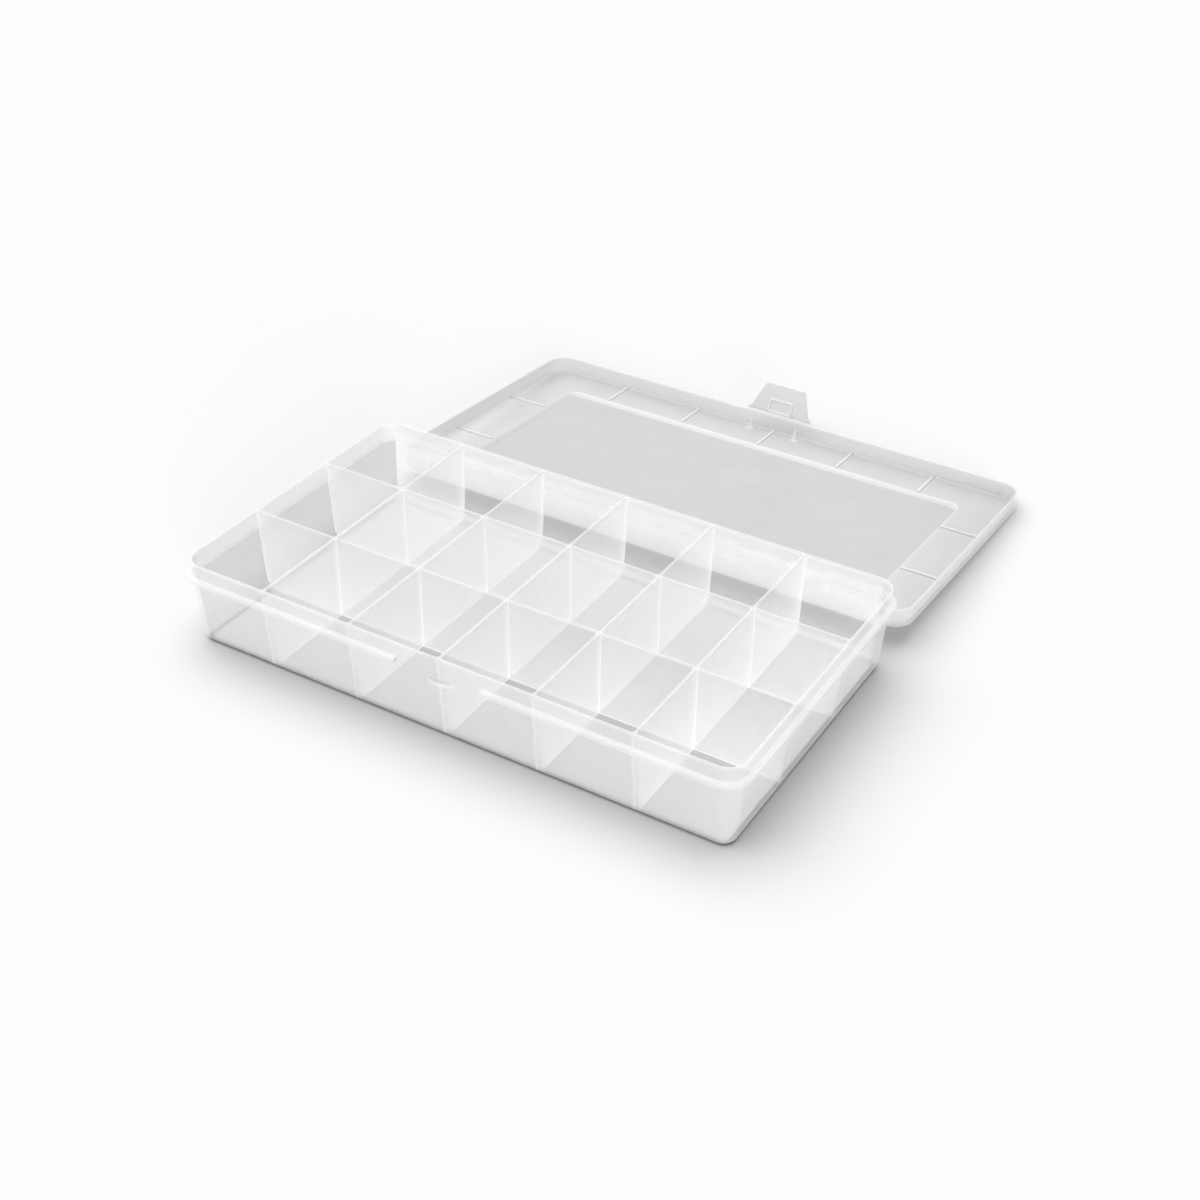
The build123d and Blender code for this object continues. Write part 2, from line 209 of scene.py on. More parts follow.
def skin(name, grids, milk, loop=False):
    """One mesh in metres from grids of rings in mm: row i holds ring i, each ring is closed, and
    the first and last rings are closed by flat faces, or joined where the path is a loop. Milk says
    how cloudy the plastic is at each point: 0 is a plain wall, 1 an edge, and less than 0 is
    clearer. Grids that enclose a negative volume are turned."""
    points, faces, cloud, base = [], [], [], 0
    for grid, own_milk in zip(grids, milk):
        count, size = grid.shape[:2]
        index = np.arange(count * size).reshape(count, size)
        first, second = (index, np.roll(index, -1, 0)) if loop else (index[:-1], index[1:])
        quads = np.stack((first, np.roll(first, -1, 1), np.roll(second, -1, 1), second), -1)
        quads = quads.reshape(-1, 4)
        flat = grid.reshape(-1, 3)
        corner = flat[quads] - flat.mean(0)
        volume = (
            np.einsum("ij,ij->i", corner[:, 0], np.cross(corner[:, 1], corner[:, 2]))
            + np.einsum("ij,ij->i", corner[:, 0], np.cross(corner[:, 2], corner[:, 3]))
        ).sum()
        caps = [] if loop else [index[0][::-1], index[-1]]
        if volume < 0:
            quads, caps = quads[:, ::-1], [cap[::-1] for cap in caps]
        faces += (quads + base).tolist() + [(cap + base).tolist() for cap in caps]
        points.append(flat)
        cloud.append(np.broadcast_to(own_milk, grid.shape[:2]).reshape(-1))
        base += len(flat)
    mesh = bpy.data.meshes.new(name)
    mesh.from_pydata((np.concatenate(points) / metre).tolist(), [], faces)
    milk_layer = mesh.attributes.new("milk", "FLOAT", "POINT")
    milk_layer.data.foreach_set("value", np.concatenate(cloud).astype(np.float32))
    mesh.shade_smooth()
    mesh.set_sharp_from_angle(angle=sharp_angle)
    mesh.update()
    piece = bpy.data.objects.new(name, mesh)
    scene.collection.objects.link(piece)
    return piece


frost = bpy.data.node_groups.new("moulded_frost", "ShaderNodeTree")
for label, kind, default in (
    ("Milk", "NodeSocketFloat", 0.0),
    ("Wall haze", "NodeSocketFloat", 0.2),
    ("Edge haze", "NodeSocketFloat", 0.9),
    ("Wall tone", "NodeSocketColor", (0.8, 0.8, 0.8, 1)),
    ("Edge tone", "NodeSocketColor", (1, 1, 1, 1)),
    ("Polish", "NodeSocketFloat", 0.3),
):
    frost.interface.new_socket(label, in_out="INPUT", socket_type=kind).default_value = default
for label, kind in (
    ("Tone", "NodeSocketColor"), ("Haze", "NodeSocketFloat"),
    ("Roughness", "NodeSocketFloat"), ("Height", "NodeSocketFloat"),
):
    frost.interface.new_socket(label, in_out="OUTPUT", socket_type=kind)
frost_in, frost_out = frost.nodes.new("NodeGroupInput"), frost.nodes.new("NodeGroupOutput")
place = frost.nodes.new("ShaderNodeTexCoord").outputs["Object"]
cloudy = add_node(                                  # broad drifts left by the flow of the melt
    frost, "ShaderNodeTexNoise", {"Vector": place, "Scale": 55, "Detail": 3, "Distortion": 0.8}
).outputs["Fac"]
grain = add_node(                                   # fine texture of the mould's face
    frost, "ShaderNodeTexNoise", {"Vector": place, "Scale": 2600, "Detail": 2}
).outputs["Fac"]


def reckon(operation, *values):
    """A Math node of the frost group, fed by sockets or numbers."""
    return add_node(frost, "ShaderNodeMath", dict(enumerate(values)), operation).outputs[0]


drift_in_haze, drift_in_gloss, grain_in_gloss, drift_in_height = 0.12, 0.10, 0.12, 0.5
drift = reckon("SUBTRACT", cloudy, 0.5)
milk_here, wall_end, edge_end, wall_colour, edge_colour, polish = frost_in.outputs[:6]
haze_plain = reckon("MULTIPLY_ADD", milk_here, reckon("SUBTRACT", edge_end, wall_end), wall_end)
haze = reckon("MULTIPLY", haze_plain, reckon("MULTIPLY_ADD", drift, drift_in_haze, 1.0))
haze_kept = add_node(frost, "ShaderNodeClamp", {"Value": haze})
tone = add_node(
    frost, "ShaderNodeMix", data_type="RGBA",
    inputs={"Factor": milk_here, "A": wall_colour, "B": edge_colour},
)
gloss = reckon("MULTIPLY_ADD", grain, grain_in_gloss, polish)
for label, value in (
    ("Tone", tone.outputs["Result"]),
    ("Haze", haze_kept.outputs[0]),
    ("Roughness", reckon("MULTIPLY_ADD", drift, drift_in_gloss, gloss)),
    ("Height", reckon("MULTIPLY_ADD", cloudy, drift_in_height, grain)),
):
    frost.links.new(value, frost_out.inputs[label])


def frosted(
    name, wall_haze, edge_haze, lamp_haze, glow_haze, bounce_tone_and_painted_shade=0.98, wall_tone=0.98, edge_tone=0.99
):
    """Polypropylene of one haze: clear enough to see through where milk is 0, cloudy where it is 1.

    The haze scatters light more than it stops it, so what lies behind is seen through wall_haze,
    while lamplight meets lamp_haze, and light from neighbouring walls glow_haze and bounce_tone_and_painted_shade. The
    skin by which a ray leaves a wall has back_share of its haze, so a wall counts about once."""
    back_share = 0.1
    material = bpy.data.materials.new(name)
    material.use_nodes = True
    tree = material.node_tree
    attribute = tree.nodes.new("ShaderNodeAttribute")
    attribute.attribute_name = "milk"
    group = tree.nodes.new("ShaderNodeGroup")
    group.node_tree = frost
    tree.links.new(attribute.outputs["Fac"], group.inputs["Milk"])
    group.inputs["Wall haze"].default_value = wall_haze
    group.inputs["Edge haze"].default_value = edge_haze
    group.inputs["Wall tone"].default_value = (wall_tone, wall_tone, wall_tone, 1)
    group.inputs["Edge tone"].default_value = (edge_tone, edge_tone, edge_tone, 1)
    rays = tree.nodes.new("ShaderNodeLightPath")
    by_eye, by_lamp = rays.outputs["Is Camera Ray"], rays.outputs["Is Shadow Ray"]
    leaving = tree.nodes.new("ShaderNodeNewGeometry").outputs["Backfacing"]
    skin_share = add_node(
        tree, "ShaderNodeMath", {0: leaving, 1: back_share - 1, 2: 1.0}, "MULTIPLY_ADD"
    )
    light_meets = add_node(
        tree, "ShaderNodeMix", {"Factor": by_lamp, "A": glow_haze, "B": lamp_haze}
    )
    meets = add_node(
        tree, "ShaderNodeMix",
        {"Factor": by_eye, "A": light_meets.outputs["Result"], "B": group.outputs["Haze"]},
    )
    covers = add_node(
        tree, "ShaderNodeMath", {0: skin_share.outputs[0], 1: meets.outputs["Result"]}, "MULTIPLY"
    )
    # Colour that only bounced light sees; where it is low it is painted shade, deepening the
    # shadows about the part.
    bounce_colour_and_painted_shade = (bounce_tone_and_painted_shade, bounce_tone_and_painted_shade, bounce_tone_and_painted_shade, 1)
    shows = add_node(
        tree, "ShaderNodeMix", data_type="RGBA",
        inputs={"Factor": by_eye, "A": bounce_colour_and_painted_shade, "B": group.outputs["Tone"]},
    )
    bump = add_node(
        tree, "ShaderNodeBump",
        {"Strength": 0.12, "Distance": 0.0002, "Height": group.outputs["Height"]},
    )
    shader = tree.nodes["Principled BSDF"]
    shader.inputs["IOR"].default_value = 1.49
    shader.inputs["Specular IOR Level"].default_value = 0.35
    for label, value in (
        ("Base Color", shows.outputs["Result"]),
        ("Alpha", covers.outputs[0]),
        ("Roughness", group.outputs["Roughness"]),
        ("Normal", bump.outputs["Normal"]),
    ):
        tree.links.new(value, shader.inputs[label])
    return material


# The outside, and the inside, whose darker grey is painted shade; the floor and the foot of the
# walls;
# the rear wall, which is clearer than the others; the underside; and the outside above the belt.
tray_finishes = [
    # The outside, the underside and the brim look dark to bounced light: painted shade, deepening
    # the tray's shadow on the table.
    frosted("tray_outside", 0.45, 0.92, 0.98, 0.98, 0.05),
    frosted("tray_inside_painted_shade", 0.50, 0.92, 0.05, 0.95, 0.93, wall_tone=0.49),
    # The floor's grey wall tone is painted shade, for the shadow on the table beneath it.
    frosted("tray_base_painted_shade", 0.42, 0.80, 0.60, 0.95, 0.9, wall_tone=0.55),
    frosted("tray_rear", 0.40, 0.92, 0.05, 0.95, wall_tone=0.90),
    frosted("tray_under", 0.30, 0.80, 0.55, 0.80, 0.4),
    frosted("tray_brim", 0.34, 0.58, 0.15, 0.50, 0.5),
]
on_outside, on_inside, on_base, on_rear, on_under, on_brim = range(6)
clear_high, rear_high = 15.5, 34.2           # top of the rear wall's clear part, and of its finish
base_reach = 0.5                             # how far up the inside's round the floor's finish goes

rim_outline = outline(rim_half_x, rim_half_y, rim_round)
rim_centres, rim_directions, _ = rim_outline
lean_angle, slant = degrees(atan2(wall_lean, 1)), hypot(1, wall_lean)
foot_centre = (-wall_face(foot_round) - foot_round * slant, foot_round)
hollow_level = floor_thick + floor_round
hollow_centre = (-wall_thick - wall_face(hollow_level) - floor_round * slant, hollow_level)
wall_levels = np.array([
    5, 8, 11, 14, clear_high - 0.2, clear_high + 0.2, 17, 21, 24,
    belt_low - 0.4, belt_low, belt_low + 0.4, belt_high - 0.4, belt_high, belt_high + 0.4,
    31, 32.5, 33.4, 33.9, 34.1,
])
outer_wall = np.stack((-wall_face(wall_levels), wall_levels), 1)
tray_profile = np.concatenate((
    arc(foot_centre, foot_round, -90, -lean_angle, 8),
    outer_wall,
    arc((-lip_round, rim_height - lip_round), lip_round, 0, 90, lip_steps),
    arc((-wall_thick + lip_round, rim_height - lip_round), lip_round, 90, 180, lip_steps),
    (outer_wall - (wall_thick, 0))[::-1],
    arc(hollow_centre, floor_round, -lean_angle, -90),
))
height_up = tray_profile[:, 1]
crest = int(np.argmax(height_up))

# Milk by height on both skins, and by distance from the junctions with the compartment walls.
brim_milk_outside, brim_milk_inside, shelf_milk = 0.50, 0.85, 0.75      # above and behind the belt
foot_milk, foot_level, foot_spread = 0.35, 1.0, 1.4
# The inside's milk that rises with height is painted shade: the inside shows darker low down.
painted_shade_rise, inside_milk, lip_reach = 0.12, -0.04, 0.5
junction_milk, end_junction_milk, junction_reach, far_off = 0.7, 0.2, 0.45, 9.0
outer_skin = np.arange(len(tray_profile)) < crest + 2
in_wall = height_up > floor_thick
above_shelf = soft_step(height_up - belt_high)
shelf = soft_step(height_up - belt_low) - above_shelf
height_milk = np.where(
    outer_skin,
    brim_milk_outside * above_shelf
    + foot_milk * np.exp(-((height_up - foot_level) / foot_spread) ** 2),
    brim_milk_inside * above_shelf + shelf_milk * shelf
    + painted_shade_rise * height_up / rim_height + inside_milk,
)
straight, mostly = 0.999, 0.9                # how squarely a station of the outline faces its side
along_end, along_side = (np.abs(rim_directions) > straight).T
beside = np.where(
    along_side,
    np.abs(rim_centres[:, :1] - column_places).min(1),
    np.where(along_end, np.abs(rim_centres[:, 1:] - row_places).min(1), far_off),
)
junction = np.exp(-beside / junction_reach) * np.where(along_side, junction_milk, end_junction_milk)

# The rear wall's inside is cloudier above its clear part and at its foot, and the end walls are a
# little cloudier outside: painted light, which shows these places whiter than the plain wall.
rear_band_painted_light, rear_brim, rear_clear, rear_foot_painted_light, end_wall_painted_light = 0.70, -0.25, -0.12, 0.40, 0.3
clear_low, foot_high = 3.4, 3.2
rear_milk_and_painted_light = np.where(
    outer_skin, 0,
    rear_band_painted_light * soft_step(height_up - clear_high) * (height_up < belt_low)
    + rear_brim * above_shelf
    + rear_clear * soft_step(clear_high - height_up) * soft_step(height_up - clear_low, 0.4)
    + rear_foot_painted_light * soft_step(foot_high - height_up, 0.3),
)
at_rear = rim_directions[:, 1] > mostly
tray_milk_and_painted_light = np.clip(
    (np.exp(-(rim_height - height_up) / lip_reach) + height_milk)[:, None]
    + in_wall[:, None] * junction
    + rear_milk_and_painted_light[:, None] * at_rear
    + end_wall_painted_light * outer_skin[:, None] * rim_directions[:, 0] ** 4,
    -0.5, 1,
)
tray_shell = skin("tray_shell", [carried(rim_outline, tray_profile)], [tray_milk_and_painted_light])
for finish in tray_finishes:
    tray_shell.data.materials.append(finish)
band, band_high = np.arange(len(tray_profile) - 1), height_up[1:]
finish_of = np.where(band < crest + lip_steps, on_outside, on_inside)
finish_of[band_high < floor_thick + base_reach] = on_base
finish_of[:crest] = on_outside
finish_of[(finish_of == on_outside) & (band_high > belt_high)] = on_brim
rear_band = ((finish_of == on_inside) | (band_high > clear_high)) & (band_high < rear_high)
finish_of = np.where(rear_band[:, None] & at_rear, on_rear, finish_of[:, None])
tray_shell.data.polygons.foreach_set(
    "material_index", np.concatenate((finish_of.ravel(), [on_under, on_base])).astype(np.int32)
)
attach(tray_shell, "tray")
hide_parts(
    "tray_floor",
    "tray_wall_left", "tray_wall_right", "tray_wall_front", "tray_wall_rear",
)

# ---- Compartment walls --------------------------------------------------------------------------
# Two long walls and fifteen cross walls, moulded with the tray in the same polypropylene. Each runs
# into its neighbours and the floor through a small fillet, and its top edge is slightly rounded.
divider_thick, divider_fillet, divider_top_round = 1.25, 0.7, 0.3
divider_root, hair = 0.35, 0.01              # its depth in what it grows from, and an allowance
divider_top_milk, divider_end_milk, divider_foot_milk, sunk_milk = 0.3, 0.8, 0.3, -0.68
divider_edge_reach, divider_foot_reach = 0.4, 0.8


def fillet(distance):
    """What a fillet adds at a distance from its corner: its radius less a quarter circle."""
    inner = np.clip(divider_fillet - distance, 0, divider_fillet)
    return divider_fillet - np.sqrt(divider_fillet**2 - inner**2)


def standing_wall(along_x, middle, start, end, leans_start, leans_end):
    """A thin upright wall between two ends, which may follow the lean of the outer walls.

    Its half thickness is that of the plain wall plus a fillet's quarter circle of the distance to
    the floor and to each end. Stations run along it, and each ring is one cross section."""
    half, low = divider_thick / 2, floor_thick - divider_root
    rise = np.array([0, divider_root, 0.5, 0.65, 0.85, 1.1, 2, 6, 14, 24, 31, 32.8]) + low
    top = arc((0, rim_height - divider_top_round), divider_top_round, 0, 180)
    flat = np.zeros(len(rise))
    spread = np.concatenate((flat + 1, np.zeros(len(top)), flat - 1))
    crown = np.concatenate((flat, top[:, 0], flat))
    crown_side = np.sign(crown.round(6))
    height = np.concatenate((rise, top[:, 1], rise[::-1]))[None]
    from_end = np.array([-divider_root, 0, 0.12, 0.3, 0.5, 0.75, 1.5, 3])
    length = end - start
    middle_run = np.linspace(5, length - 5, 7)
    stations = np.concatenate((from_end, middle_run, length - from_end[::-1]))[:, None]
    near, far = stations, length - stations
    flare = np.minimum(fillet(height - floor_thick) + fillet(near) + fillet(far), divider_fillet)
    width = middle + (
        spread * (half + flare) + crown + crown_side * (half - divider_top_round + flare)
    )
    share = stations / length
    leaning = leans_start * (1 - share) - leans_end * share
    position = start + stations + wall_face(height) * leaning
    level = np.broadcast_to(height, position.shape)
    grid = np.dstack((position, width, level) if along_x else (width, position, level))
    nearest = np.minimum(near, far)
    milk = np.clip(
        divider_top_milk * np.exp(-(rim_height - height) / divider_edge_reach)
        + divider_end_milk * np.exp(-np.clip(nearest, 0, None) / divider_edge_reach)
        + divider_foot_milk * np.exp(-(height - floor_thick) / divider_foot_reach),
        0, 1,
    )
    return grid, np.where((nearest < -hair) | (height < floor_thick - hair), sunk_milk, milk)


inside_x, inside_y = rim_half_x - wall_thick, rim_half_y - wall_thick
long_walls = [standing_wall(True, place_y, -inside_x, inside_x, 1, 1) for place_y in row_places]
row_near, row_far = (pitch_y - divider_thick) / 2, (pitch_y + divider_thick) / 2
row_spans = [(-inside_y, -row_far), (-row_near, row_near), (row_far, inside_y)]
cross_walls = [
    standing_wall(False, place_x, start, end, row == 0, row == 2)
    for place_x in column_places for row, (start, end) in enumerate(row_spans)
]
divider_sheet = frosted("divider_sheet", 0.46, 0.75, 0.06, 0.06)
for name, walls, nodes in (
    ("long_walls", long_walls, ["row_divider_1", "row_divider_2"]),
    ("cross_walls", cross_walls, [
        f"column_divider_{c}_row_{r}" for c in range(1, 6) for r in range(1, 4)
    ]),
):
    piece = skin(name, [grid for grid, _ in walls], [milk for _, milk in walls])
    piece.data.materials.append(divider_sheet)
    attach(piece, "tray")
    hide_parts(*nodes)

# ---- Belt ---------------------------------------------------------------------------------------
# A rib round the outside of the tray, part of the moulding, on which the shut lid's skirt stands.
# It is left out behind the latch and at both hinges.
belt_out, belt_edge, belt_root = 1.75, 0.35, 0.35
latch_gap_half, hinge_middle, hinge_gap_half = 17.5, 66.5, 20.6
turn_points, end_step, front_stop = 13, 0.4, 60.0

belt_section = np.concatenate((
    [(-wall_face(belt_low) - belt_root, belt_low)],
    arc((belt_out - belt_edge, belt_low + belt_edge), belt_edge, -90, 0, 4),
    arc((belt_out - belt_edge, belt_high - belt_edge), belt_edge, 0, 90, 4),
    [(0.1, belt_high), (-wall_face(belt_high) - belt_root, belt_high)],
))
belt_milk = np.array([0.4, *[0.5] * 5, 0.6, 0.75, 0.9, 1.0, 1.0, 1.0, 1.0])[None]   # most on top
corner_x, corner_y = rim_half_x - rim_round, rim_half_y - rim_round


def belt_run(centres, directions):
    """The belt's section carried along part of the rim's outline: one ring at each station."""
    return carried((centres, directions, rim_round), belt_section).swapaxes(0, 1)


def half_round(side):
    """Centres and directions from the latch, round one end of the tray, to the hinge behind."""
    hinge_gap = hinge_middle + hinge_gap_half
    centres = np.concatenate((
        [(x, -corner_y) for x in (latch_gap_half, latch_gap_half + end_step, front_stop)],
        np.repeat([(corner_x, -corner_y)], turn_points, 0),
        np.repeat([(corner_x, corner_y)], turn_points, 0),
        [(x, corner_y) for x in (hinge_gap + end_step, hinge_gap)],
    ))
    angles = np.concatenate((
        [-pi / 2] * 3, np.linspace(-pi / 2, 0, turn_points), np.linspace(0, pi / 2, turn_points),
        [pi / 2] * 2,
    ))
    directions = np.stack((np.cos(angles), np.sin(angles)), 1)
    return centres * (side, 1), directions * (side, 1)


rear_reach = hinge_middle - hinge_gap_half
rear_run = np.array([(x, corner_y) for x in (-rear_reach, 0, rear_reach)])
belt_grids = [belt_run(*half_round(side)) for side in (-1, 1)]
belt_grids += [belt_run(rear_run, np.array([(0, 1.0)] * 3))]
belt = skin("belt", belt_grids, [belt_milk] * 3)
ledge = frosted("belt_plastic", 0.40, 0.54, 0.10, 0.30)
belt.data.materials.append(ledge)
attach(belt, "tray")
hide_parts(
    "belt_left", "belt_right", "belt_front_left", "belt_front_right",
    "belt_rear_left", "belt_rear_middle", "belt_rear_right",
)

# ---- Catch --------------------------------------------------------------------------------------
# A half-moon ledge on the front wall, part of the tray's moulding, with a sloped upper edge. The
# latch's frame snaps over it and holds under it.
catch_half, catch_out, catch_low, catch_tall, catch_slope = 6.0, 2.3, 24.05, 1.6, 0.6
catch_trim, catch_root = 0.999, 0.35         # share of its width that is built; depth in the wall

catch_radius = (catch_half**2 + catch_out**2) / (2 * catch_out)
catch_x = catch_half * np.sin(np.linspace(-pi / 2, pi / 2, 25)) * catch_trim
catch_reach = np.sqrt(catch_radius**2 - catch_x**2) - (catch_radius - catch_out)
catch_share = np.array([0, 0.9, 1, 1, 0.95, 0, 0])      # of the reach, from underside to top
catch_sunk = np.array([1, 0, 0, 0, 0, 0, 1]) * catch_root
catch_level = catch_low + np.array([
    0, 0, 0.12, catch_tall - catch_slope, catch_tall - catch_slope + 0.1, catch_tall, catch_tall,
])
catch_wall = wall_face(catch_level) - rim_half_y
catch_front = catch_wall + catch_sunk - catch_share * catch_reach[:, None]
slope_top = 5                                # its place in the section
catch_front[:, slope_top] = catch_wall[slope_top] - np.maximum(catch_reach - catch_slope, 0)
catch_grid = np.dstack((
    np.broadcast_to(catch_x[:, None], catch_front.shape),
    catch_front,
    np.broadcast_to(catch_level, catch_front.shape),
))
catch = skin("latch_ledge", [catch_grid], [0.7])
catch.data.materials.append(ledge)
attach(catch, "tray")
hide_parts("latch_catch")

# ---- Lid sheet and skirt ------------------------------------------------------------------------
# One moulded sheet with a shallow raised field, turned down all round into a skirt. It is worked
# out in the place it has when shut and then swung open about the hinge line.
hinge_y, hinge_z, table_gap = 66.8, 23.7, 0.1
skirt_low, lid_inner, lid_outer = 29.4, 35.8, 37.0
skirt_in, skirt_out, lid_edge, skirt_edge, hollow_edge = 0.25, 1.45, 1.0, 0.3, 0.4
edge_steps, hollow_steps = 6, 4
field_half_x, field_half_y, field_round = 95.8, 44.95, 5.0
field_run, field_rise, field_blend = 2.0, 1.6, 0.45


def rest_angle(forward, above, edge):
    """Tilt past level that brings an edge of the open lid down to the gap over the table: the arc
    sine of its drop over its arm, less the angle at which the edge stands above the hinge."""
    arm = hypot(forward - edge, above - edge)
    return asin((hinge_z - table_gap - edge) / arm) - atan2(above - edge, forward - edge)


lid_swing = pi + min(
    rest_angle(hinge_y + rim_half_y + skirt_out, lid_outer - hinge_z, lid_edge),
    rest_angle(hinge_y + field_half_y - field_run, lid_outer + field_rise - hinge_z, 0.0),
)


def swung(grid, turn, pivot):
    """Points turned back by an angle about a line along X through the pivot's Y and Z."""
    y, z = grid[..., 1] - pivot[0], grid[..., 2] - pivot[1]
    return np.stack((
        grid[..., 0],
        pivot[0] + y * cos(turn) + z * sin(turn),
        pivot[1] - y * sin(turn) + z * cos(turn),
    ), -1)


def laid_open(grid):
    """Points of the shut lid swung to the place they have when it lies open."""
    return swung(grid, lid_swing, (hinge_y, hinge_z))


slope = degrees(atan2(field_rise, field_run))
blend_span = field_blend * tan(radians(slope / 2))


def stepped(sheet_z):
    """Inner or outer face of the step round the field, as (outward, height) from the field's foot.

    The step is a straight slope with a small round at its foot and at its crest."""
    foot = (blend_span, sheet_z + field_blend)
    head = (-field_run - blend_span, sheet_z + field_rise - field_blend)
    return np.concatenate((
        arc(foot, field_blend, -90, -90 - slope, 4), arc(head, field_blend, 90 - slope, 90, 4),
    ))


field_outline = outline(field_half_x, field_half_y, field_round)
outer_step, inner_step = stepped(lid_outer), stepped(lid_inner)
skirt_profile = np.concatenate((
    arc((skirt_out - lid_edge, lid_outer - lid_edge), lid_edge, 90, 0, edge_steps),
    [(skirt_out, 34), (skirt_out, 31)],
    arc((skirt_out - skirt_edge, skirt_low + skirt_edge), skirt_edge, 0, -90, 3),
    arc((skirt_in + skirt_edge, skirt_low + skirt_edge), skirt_edge, -90, -180, 3),
    [(skirt_in, 31), (skirt_in, 34)],
    arc((skirt_in - hollow_edge, lid_inner - hollow_edge), hollow_edge, 0, 90, hollow_steps),
))
lid_rings = np.concatenate((
    carried(field_outline, outer_step[::-1]),
    carried(rim_outline, skirt_profile),
    carried(rim_outline, np.array([(-2.0, lid_inner)])),
    carried(field_outline, inner_step),
))
step_milk = np.array([0.3, 1.0, 1.0, 1.0, 1.0, 0.5, 0.2, 0.0, 0.0, 0.0])
skirt_milk = np.concatenate((
    np.linspace(0.0, 0.1, edge_steps + 1), [0.05] * 2, [0.15] * 8, [0.0] * (2 + hollow_steps + 1),
))
lid_milk = np.concatenate((step_milk[::-1], skirt_milk, [0.0], step_milk))[:, None]
lid_shell_finishes = (                       # the sheet, the skirt, and the skirt's hinge side
    # The sheet and the skirt look dark to bounced light: painted shade under the lid and by its
    # edge.
    frosted("lid_sheet", 0.66, 0.9, 0.75, 0.6, 0.10, wall_tone=0.88),
    frosted("lid_turn", 0.50, 0.9, 0.85, 0.5, 0.20, wall_tone=0.94),
    frosted("lid_back", 0.90, 0.95, 0.10, 0.5),
)
on_sheet, on_skirt, on_back = range(3)
lid_shell = skin("lid_shell", [laid_open(lid_rings)], [lid_milk])
for finish in lid_shell_finishes:
    lid_shell.data.materials.append(finish)
lid_band = np.arange(len(lid_rings) - 1)
skirt_start = len(outer_step) + edge_steps
skirt_end = len(outer_step) + len(skirt_profile) - (hollow_steps + 1)
in_skirt = (lid_band >= skirt_start) & (lid_band < skirt_end)
lid_part = np.where(in_skirt[:, None], np.where(at_rear, on_back, on_skirt), on_sheet)
lid_shell.data.polygons.foreach_set(
    "material_index", np.concatenate((lid_part.ravel(), [on_sheet] * 2)).astype(np.int32)
)
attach(lid_shell, "lid")
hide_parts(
    "lid_panel",
    "lid_skirt_left", "lid_skirt_right", "lid_skirt_front", "lid_skirt_rear",
)

# ---- Lid ribs -----------------------------------------------------------------------------------
# Fourteen low bars on the lid's border, moulded with it. Each stands over the end of a compartment
# wall and holds the shut lid just clear of it.
rib_half, rib_low, rib_soft = 0.6, 35.0, 0.3
rib_top = lid_inner + 0.3                    # sunk in the sheet
rib_section = np.concatenate((
    [(rib_half, rib_top)],
    arc((rib_half - rib_soft, rib_low + rib_soft), rib_soft, 0, -90, 3),
    arc((-rib_half + rib_soft, rib_low + rib_soft), rib_soft, -90, -180, 3),
    [(-rib_half, rib_top)],
))
rib_free = rib_section[:, 1] < lid_inner
rib_stations = np.array([0, 0.25, 0.6, 9, 17.85, 18.2, 18.45])          # from the skirt inwards
rib_drop = np.array([0.5, 0.15, 0, 0, 0, 0.15, 0.5])                    # of the rounded ends


def rib(place_along, side, across_x):
    """A bar from the skirt's inner face to the field's foot, its ends rounded down into the sheet.

    Each ring is the section at one station, its free points lowered by the drop but kept in the
    sheet."""
    reach = (rim_half_y if across_x else rim_half_x) + skirt_in - rib_stations
    level = np.minimum(rib_section[:, 1] + rib_drop[:, None] * rib_free, rib_top)
    width = np.broadcast_to(place_along + rib_section[:, 0], level.shape)
    away = np.broadcast_to(side * reach[:, None], level.shape)
    return laid_open(np.dstack((width, away, level) if across_x else (away, width, level)))


ribs = [rib(x, side, True) for side in (-1, 1) for x in column_places]
ribs += [rib(y, side, False) for side in (-1, 1) for y in row_places]
lid_ribs = skin("lid_ribs", ribs, [np.where(rib_free, 0.75, 0.4)] * len(ribs))
lid_bar = frosted("lid_bar", 0.65, 0.8, 0.10, 0.10)
lid_ribs.data.materials.append(lid_bar)
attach(lid_ribs, "lid")
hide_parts("lid_ribs_front", "lid_ribs_rear", "lid_ribs_left", "lid_ribs_right")

# ---- Locating pips ------------------------------------------------------------------------------
# Two small cones inside the lid's front edge, moulded with it. They slip inside the tray's front
# wall and keep the lid in line while the latch snaps.
pip_x, pip_y, pip_base, pip_tip, pip_tall = 10.9, -60.15, 1.75, 0.6, 4.2
pip_flare, pip_root, pip_soft, pip_sides = 0.35, 0.3, 0.4, 28

pip_profile = np.concatenate((
    [(pip_base + pip_flare, -pip_root), (pip_base + pip_flare, 0.02)],
    [(pip_base + 0.08, 0.2), (pip_base - 0.1, 0.5)],
    arc((pip_tip - pip_soft, pip_tall - pip_soft), pip_soft, 15, 90, 5),
))
pip_radius, pip_level = pip_profile[:, :1], lid_inner - pip_profile[:, 1:]
pip_turn = np.linspace(0, 2 * pi, pip_sides, endpoint=False)
pip_grids = [
    laid_open(np.dstack((
        side * pip_x + pip_radius * np.cos(pip_turn),
        pip_y + pip_radius * np.sin(pip_turn),
        np.broadcast_to(pip_level, (len(pip_profile), pip_sides)),
    )))
    for side in (-1, 1)
]
pips = skin("locating_pips", pip_grids, [0.9] * 2)
pips.data.materials.append(lid_bar)
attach(pips, "lid")
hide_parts("locating_pip_left", "locating_pip_right")

# ---- Hinge ears and pins ------------------------------------------------------------------------
# Behind the tray each pin is moulded between two ears that grow out of the rear wall under the
# belt. Ears and pins are of one piece with the tray, and thick enough to be quite white.
ear_round, ear_wide, ear_edge, ear_root = 3.1, 2.2, 0.3, 0.3
ear_high, ear_low, ear_out, ear_in = 29.0, 20.7, 64.9, 62.9
pin_round, pin_half, pin_sides = 1.5, 18.4, 24


